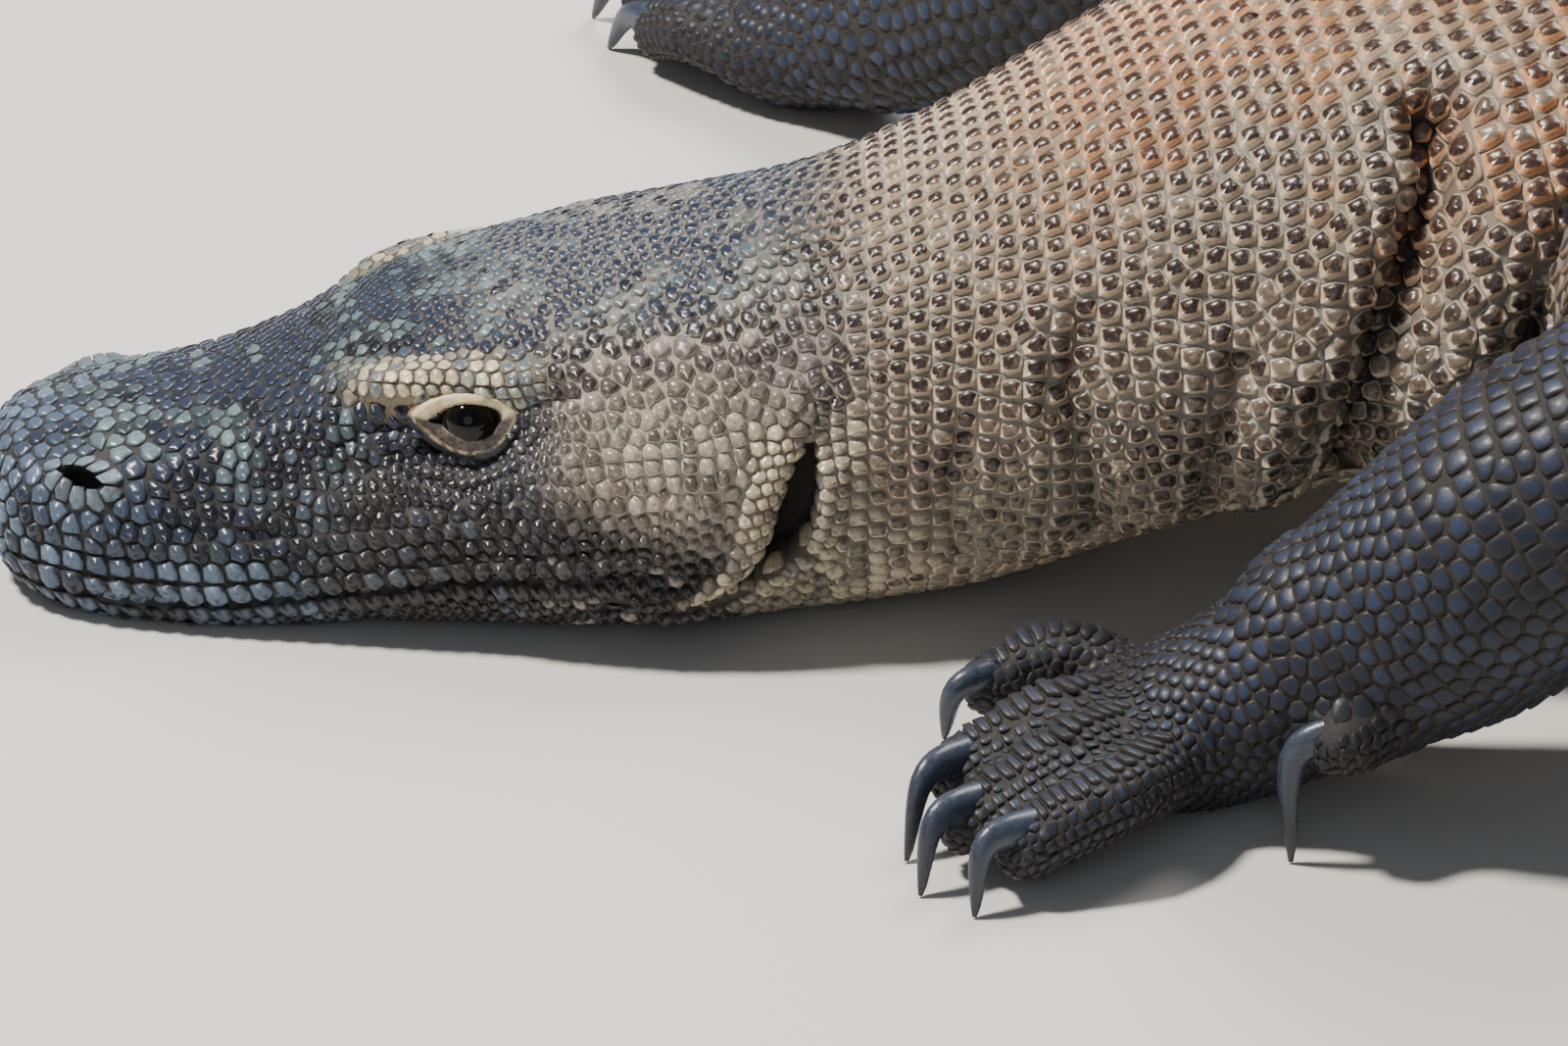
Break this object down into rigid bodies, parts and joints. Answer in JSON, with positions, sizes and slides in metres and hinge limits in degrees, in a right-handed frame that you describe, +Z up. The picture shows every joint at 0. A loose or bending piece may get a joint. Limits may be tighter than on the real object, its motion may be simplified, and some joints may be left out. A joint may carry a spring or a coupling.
{
  "type": "komodo dragon, still life-size animal model",
  "caption": "Life-size still model of a large resting monitor lizard, lying on its belly with its chin on the floor, legs splayed and tail trailing behind.",
  "frame": {"origin": "middle of the model's bounding box at floor level", "axes": "+Z up, -Y towards the snout along the trunk, +Y towards the tail, +X the animal's left side"},
  "size_m": [1.0214, 2.5434, 0.2018],
  "materials": {
    "head_skin": "small slate-blue and cream beaded scales with dusty skin between",
    "body_skin": "round dark scales with tan flanks on dusty grey-beige skin",
    "leg_skin": "dark slate scales in rows over grey-brown skin",
    "claw_horn": "smooth dark slate-blue horn",
    "eye_glass": "wet black-brown glass eye"
  },
  "bodies": {
    "root": {"belly": "body_skin", "chest": "body_skin", "claw_fore_left_1": "claw_horn", "claw_fore_left_2": "claw_horn", "claw_fore_left_3": "claw_horn", "claw_fore_left_4": "claw_horn", "claw_fore_left_5": "claw_horn", "claw_fore_right_1": "claw_horn", "claw_fore_right_2": "claw_horn", "claw_fore_right_3": "claw_horn", "claw_fore_right_4": "claw_horn", "claw_fore_right_5": "claw_horn", "claw_hind_left_1": "claw_horn", "claw_hind_left_2": "claw_horn", "claw_hind_left_3": "claw_horn", "claw_hind_left_4": "claw_horn", "claw_hind_left_5": "claw_horn", "claw_hind_right_1": "claw_horn", "claw_hind_right_2": "claw_horn", "claw_hind_right_3": "claw_horn", "claw_hind_right_4": "claw_horn", "claw_hind_right_5": "claw_horn", "eye_left": "eye_glass", "eye_right": "eye_glass", "foot_left": "leg_skin", "foot_right": "leg_skin", "forearm_left": "leg_skin", "forearm_right": "leg_skin", "hand_left": "leg_skin", "hand_right": "leg_skin", "head": "head_skin", "lower_jaw": "head_skin", "neck": "body_skin", "pelvis": "body_skin", "shank_left": "leg_skin", "shank_right": "leg_skin", "tail_front": "body_skin", "tail_middle": "body_skin", "tail_rear": "body_skin", "tail_root": "body_skin", "tail_tip": "body_skin", "thigh_left": "leg_skin", "thigh_right": "leg_skin", "upper_arm_left": "leg_skin", "upper_arm_right": "leg_skin"}
  },
  "joints": []
}
